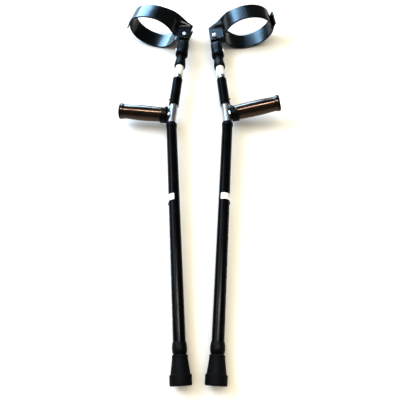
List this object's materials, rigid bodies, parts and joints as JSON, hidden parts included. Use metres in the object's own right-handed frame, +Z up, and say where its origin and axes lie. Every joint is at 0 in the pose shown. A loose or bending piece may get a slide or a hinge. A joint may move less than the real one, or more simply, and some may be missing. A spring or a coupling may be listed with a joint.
{
  "type": "forearm crutches",
  "caption": "Pair of height-adjustable forearm crutches with full tilting cuffs, sideways hand grips and rubber tips, lying flat.",
  "frame": {"origin": "bottom centre of the outline, on the floor under the pair", "axes": "+Z up from the floor the crutches lie on, +Y from the rubber tips towards the cuffs, +X to the right-hand crutch"},
  "size_m": [0.3732, 0.8743, 0.0947],
  "materials": {
    "tube_black": "gloss black coat",
    "tube_silver": "satin",
    "cuff_black": "gloss vinyl",
    "moulded_black": "semi-gloss moulding",
    "grip_brown": "gloss moulding",
    "tip_rubber": "matte",
    "label_white": "blank film",
    "brass": "worn",
    "nickel": "bright plate",
    "spring_steel": "plain",
    "button_dark": "dark",
    "nylon": "plain"
  },
  "bodies": {
    "left_frame": {"left_handle_tube": "tube_silver", "left_lower_tube": "tube_black", "left_lower_tube_cap": "moulded_black", "left_upper_sleeve": "tube_black", "left_handle_core": "tube_silver", "left_handle_saddle": "moulded_black", "left_handle_grip": "grip_brown", "left_grip_end_plug": "moulded_black", "left_lower_label": "label_white", "left_upper_label": "label_white"},
    "left_leg": {"left_leg_tube": "tube_silver", "left_rubber_tip": "tip_rubber", "left_tip_washer": "spring_steel", "left_leg_spring": "spring_steel"},
    "left_leg_lock": {"left_leg_button": "button_dark"},
    "left_leg_ring": {"left_leg_collar": "moulded_black"},
    "left_stem": {"left_stem_tube": "tube_silver", "left_yoke": "moulded_black", "left_yoke_screw": "nickel", "left_stem_spring": "spring_steel"},
    "left_stem_lock": {"left_stem_button": "brass"},
    "left_top_ring": {"left_top_collar": "moulded_black"},
    "left_cuff": {"left_pivot_bolt": "nickel", "left_pivot_nut": "nickel", "left_pivot_washers": "nylon", "left_outer_tab": "cuff_black", "left_inner_tab": "cuff_black"},
    "left_outer_half": {"left_outer_band": "cuff_black"},
    "left_inner_half": {"left_inner_band": "cuff_black"},
    "right_frame": {"right_handle_tube": "tube_silver", "right_lower_tube": "tube_black", "right_lower_tube_cap": "moulded_black", "right_upper_sleeve": "tube_black", "right_handle_core": "tube_silver", "right_handle_saddle": "moulded_black", "right_handle_grip": "grip_brown", "right_grip_end_plug": "moulded_black", "right_lower_label": "label_white", "right_upper_label": "label_white"},
    "right_leg": {"right_leg_tube": "tube_silver", "right_rubber_tip": "tip_rubber", "right_tip_washer": "spring_steel", "right_leg_spring": "spring_steel"},
    "right_leg_lock": {"right_leg_button": "button_dark"},
    "right_leg_ring": {"right_leg_collar": "moulded_black"},
    "right_stem": {"right_stem_tube": "tube_silver", "right_yoke": "moulded_black", "right_yoke_screw": "nickel", "right_stem_spring": "spring_steel"},
    "right_stem_lock": {"right_stem_button": "brass"},
    "right_top_ring": {"right_top_collar": "moulded_black"},
    "right_cuff": {"right_pivot_bolt": "nickel", "right_pivot_nut": "nickel", "right_pivot_washers": "nylon", "right_outer_tab": "cuff_black", "right_inner_tab": "cuff_black"},
    "right_outer_half": {"right_outer_band": "cuff_black"},
    "right_inner_half": {"right_inner_band": "cuff_black"}
  },
  "joints": [
    {"name": "left_leg_slide", "type": "slide", "parent": "left_frame", "child": "left_leg", "axis": [0.061, -0.9976, -0.0315], "range_m": [0, 0.2286], "deforming": ["left_leg_button"]},
    {"name": "left_leg_button_press", "type": "slide", "parent": "left_leg", "child": "left_leg_lock", "axis": [0.9967, 0.0626, -0.0523], "range_m": [0, 0.0032], "stiffness_N_per_m": 1200, "springref_m": -0.001, "deforming": ["left_leg_spring"]},
    {"name": "left_leg_collar_turn", "type": "hinge", "parent": "left_frame", "child": "left_leg_ring", "pos_m": [-0.03331, -0.37607, 0.02085], "axis": [-0.061, 0.9976, 0.0315], "range_deg": [0, 120]},
    {"name": "left_stem_slide", "type": "slide", "parent": "left_frame", "child": "left_stem", "axis": [0.0956, 0.9952, 0.0229], "range_m": [0, 0.0508], "deforming": ["left_stem_button"]},
    {"name": "left_stem_button_press", "type": "slide", "parent": "left_stem", "child": "left_stem_lock", "axis": [0.9939, -0.0942, -0.0566], "range_m": [0, 0.006], "stiffness_N_per_m": 1200, "springref_m": -0.001, "deforming": ["left_stem_spring"]},
    {"name": "left_top_collar_turn", "type": "hinge", "parent": "left_frame", "child": "left_top_ring", "pos_m": [-0.04646, 0.27397, 0.03993], "axis": [0.0956, 0.9952, 0.0229], "range_deg": [0, 120]},
    {"name": "left_cuff_tilt", "type": "hinge", "parent": "left_stem", "child": "left_cuff", "pos_m": [-0.03818, 0.36005, 0.04192], "axis": [-0.0542, 0.0282, -0.9981], "range_deg": [-27, 18]},
    {"name": "left_outer_half_open", "type": "hinge", "parent": "left_cuff", "child": "left_outer_half", "pos_m": [-0.03809, 0.37092, 0.05174], "axis": [0.801, 0.5981, -0.0266], "range_deg": [0, 20], "stiffness_Nm_per_rad": 4, "springref_deg": -3.44},
    {"name": "left_inner_half_open", "type": "hinge", "parent": "left_cuff", "child": "left_inner_half", "pos_m": [-0.03912, 0.37145, 0.03277], "axis": [-0.801, -0.5981, 0.0266], "range_deg": [0, 20], "stiffness_Nm_per_rad": 4, "springref_deg": -3.44},
    {"name": "right_leg_slide", "type": "slide", "parent": "right_frame", "child": "right_leg", "axis": [-0.061, -0.9978, -0.0264], "range_m": [0, 0.2286], "deforming": ["right_leg_button"]},
    {"name": "right_leg_button_press", "type": "slide", "parent": "right_leg", "child": "right_leg_lock", "axis": [-0.9795, 0.0649, -0.1907], "range_m": [0, 0.0032], "stiffness_N_per_m": 1200, "springref_m": -0.001, "deforming": ["right_leg_spring"]},
    {"name": "right_leg_collar_turn", "type": "hinge", "parent": "right_frame", "child": "right_leg_ring", "pos_m": [0.03302, -0.37606, 0.02055], "axis": [0.061, 0.9978, 0.0264], "range_deg": [0, 120]},
    {"name": "right_stem_slide", "type": "slide", "parent": "right_frame", "child": "right_stem", "axis": [-0.0929, 0.9957, -0.0038], "range_m": [0, 0.0508], "deforming": ["right_stem_button"]},
    {"name": "right_stem_button_press", "type": "slide", "parent": "right_stem", "child": "right_stem_lock", "axis": [-0.977, -0.0919, -0.1925], "range_m": [0, 0.006], "stiffness_N_per_m": 1200, "springref_m": -0.001, "deforming": ["right_stem_spring"]},
    {"name": "right_top_collar_turn", "type": "hinge", "parent": "right_frame", "child": "right_top_ring", "pos_m": [0.04663, 0.27413, 0.03262], "axis": [-0.0929, 0.9957, -0.0038], "range_deg": [0, 120]},
    {"name": "right_cuff_tilt", "type": "hinge", "parent": "right_stem", "child": "right_cuff", "pos_m": [0.03859, 0.36026, 0.03229], "axis": [-0.192, -0.0142, 0.9813], "range_deg": [-16, 29]},
    {"name": "right_outer_half_open", "type": "hinge", "parent": "right_cuff", "child": "right_outer_half", "pos_m": [0.04292, 0.37124, 0.02361], "axis": [-0.6601, 0.7417, -0.1185], "range_deg": [0, 20], "stiffness_Nm_per_rad": 4, "springref_deg": -3.44},
    {"name": "right_inner_half_open", "type": "hinge", "parent": "right_cuff", "child": "right_inner_half", "pos_m": [0.03927, 0.37097, 0.04226], "axis": [0.6601, -0.7417, 0.1185], "range_deg": [0, 20], "stiffness_Nm_per_rad": 4, "springref_deg": -3.44},
    {"name": "pair_spread", "type": "slide", "parent": "left_frame", "child": "right_frame", "axis": [1, 0, 0], "range_m": [-0.01, 0.15]}
  ]
}
